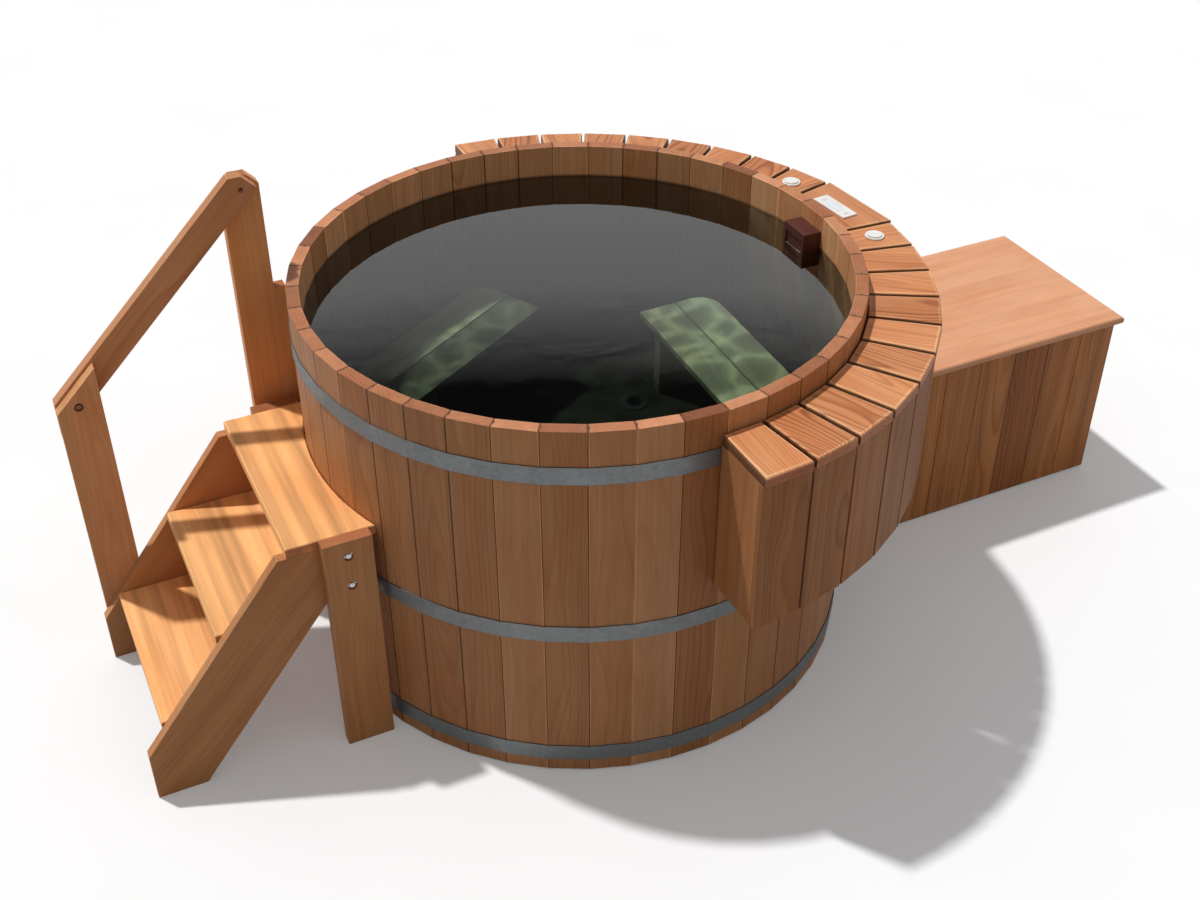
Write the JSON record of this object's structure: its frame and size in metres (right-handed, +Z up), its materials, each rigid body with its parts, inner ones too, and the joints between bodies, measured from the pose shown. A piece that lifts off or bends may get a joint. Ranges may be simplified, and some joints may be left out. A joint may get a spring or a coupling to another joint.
{
  "type": "cedar hot tub",
  "caption": "Round cedar hot tub of hooped staves with entry steps and hand rail, a half-ring shelf carrying a control panel and push buttons, and an equipment box with a hinged lid.",
  "frame": {"origin": "on the tub's vertical axis at ground level, on the underside of the middle joist", "axes": "+Z up, +X from the steps through the tub to the equipment box, +Y to the hand rail's side"},
  "size_m": [3.482, 2.1048, 1.514],
  "materials": {
    "stave_cedar": "satin oiled",
    "frame_cedar": "sawn",
    "bench_cedar": "satin",
    "shelf_cedar": "satin oiled",
    "skirt_cedar": "satin",
    "lid_cedar": "satin",
    "step_cedar": "satin oiled",
    "galvanised_steel": "satin galvanised",
    "bolt_steel": "zinc",
    "hinge_steel": "satin",
    "white_fitting": "smooth",
    "white_plastic": "satin",
    "brown_plastic": "matt",
    "grey_plastic": "matt",
    "black_plastic": "matt",
    "display_glass": "gloss",
    "motor_paint": "semi gloss",
    "heater_steel": "brushed"
  },
  "bodies": {
    "tub": {"back_post": "step_cedar", "bench_seats": "bench_cedar", "bench_supports": "bench_cedar", "bottom_hoop": "galvanised_steel", "box_deck": "frame_cedar", "box_end_boards": "skirt_cedar", "box_frame": "frame_cedar", "box_hinge_leaves": "hinge_steel", "box_inner_wall": "skirt_cedar", "box_side_boards": "skirt_cedar", "box_top_strip": "lid_cedar", "button_bodies": "white_plastic", "button_nuts": "grey_plastic", "control_pack": "grey_plastic", "end_panels": "skirt_cedar", "filter_lid": "black_plastic", "filter_tank": "grey_plastic", "floor_boards": "stave_cedar", "floor_drain": "white_fitting", "floor_joists": "frame_cedar", "front_post": "step_cedar", "hand_rail": "step_cedar", "heater": "heater_steel", "hinge_pins": "hinge_steel", "hoop_bolts": "bolt_steel", "lower_treads": "step_cedar", "middle_hoop": "galvanised_steel", "panel_board": "shelf_cedar", "panel_display": "display_glass", "panel_housing": "white_plastic", "pipes": "white_fitting", "post_spacer": "frame_cedar", "pump_motor": "motor_paint", "pump_wet_end": "black_plastic", "return_fitting": "white_fitting", "shelf_boards": "shelf_cedar", "shelf_rails": "frame_cedar", "shelf_ribs": "frame_cedar", "skimmer_basket": "grey_plastic", "skimmer_box": "brown_plastic", "skirt_boards": "skirt_cedar", "staves": "stave_cedar", "step_legs": "step_cedar", "stringers": "step_cedar", "suction_fitting": "white_fitting", "top_hoop": "galvanised_steel", "top_tread": "step_cedar", "tread_cleats": "frame_cedar"},
    "lid": {"box_lid": "lid_cedar", "lid_battens": "frame_cedar", "lid_hinge_leaves": "hinge_steel"},
    "weir": {"skimmer_weir": "brown_plastic"},
    "skimmer_cover": {"skimmer_lid": "brown_plastic"},
    "key_1": {"panel_key_1": "grey_plastic"},
    "key_2": {"panel_key_2": "grey_plastic"},
    "near_cap": {"near_button": "white_plastic"},
    "far_cap": {"far_button": "white_plastic"}
  },
  "joints": [
    {"name": "lid_hinge", "type": "hinge", "parent": "tub", "child": "lid", "pos_m": [1.09899, 0.1115, 0.6495], "axis": [0, -1, 0], "range_deg": [0, 94]},
    {"name": "weir_hinge", "type": "hinge", "parent": "tub", "child": "weir", "pos_m": [0.7445, 0, 1.0965], "axis": [0, 1, 0], "range_deg": [0, 65], "stiffness_Nm_per_rad": 0.03, "springref_deg": -22.92},
    {"name": "skimmer_lid_lift", "type": "slide", "parent": "tub", "child": "skimmer_cover", "axis": [0, 0, 1], "range_m": [0, 0.06]},
    {"name": "key_1_press", "type": "slide", "parent": "tub", "child": "key_1", "axis": [0, 0, -1], "range_m": [0, 0.0012], "stiffness_N_per_m": 300, "springref_m": -0.002},
    {"name": "key_2_press", "type": "slide", "parent": "tub", "child": "key_2", "axis": [0, 0, -1], "range_m": [0, 0.0012], "stiffness_N_per_m": 300, "springref_m": -0.002},
    {"name": "near_button_press", "type": "slide", "parent": "tub", "child": "near_cap", "axis": [0, 0, -1], "range_m": [0, 0.0038], "stiffness_N_per_m": 500, "springref_m": -0.004},
    {"name": "far_button_press", "type": "slide", "parent": "tub", "child": "far_cap", "axis": [0, 0, -1], "range_m": [0, 0.0038], "stiffness_N_per_m": 500, "springref_m": -0.004}
  ]
}
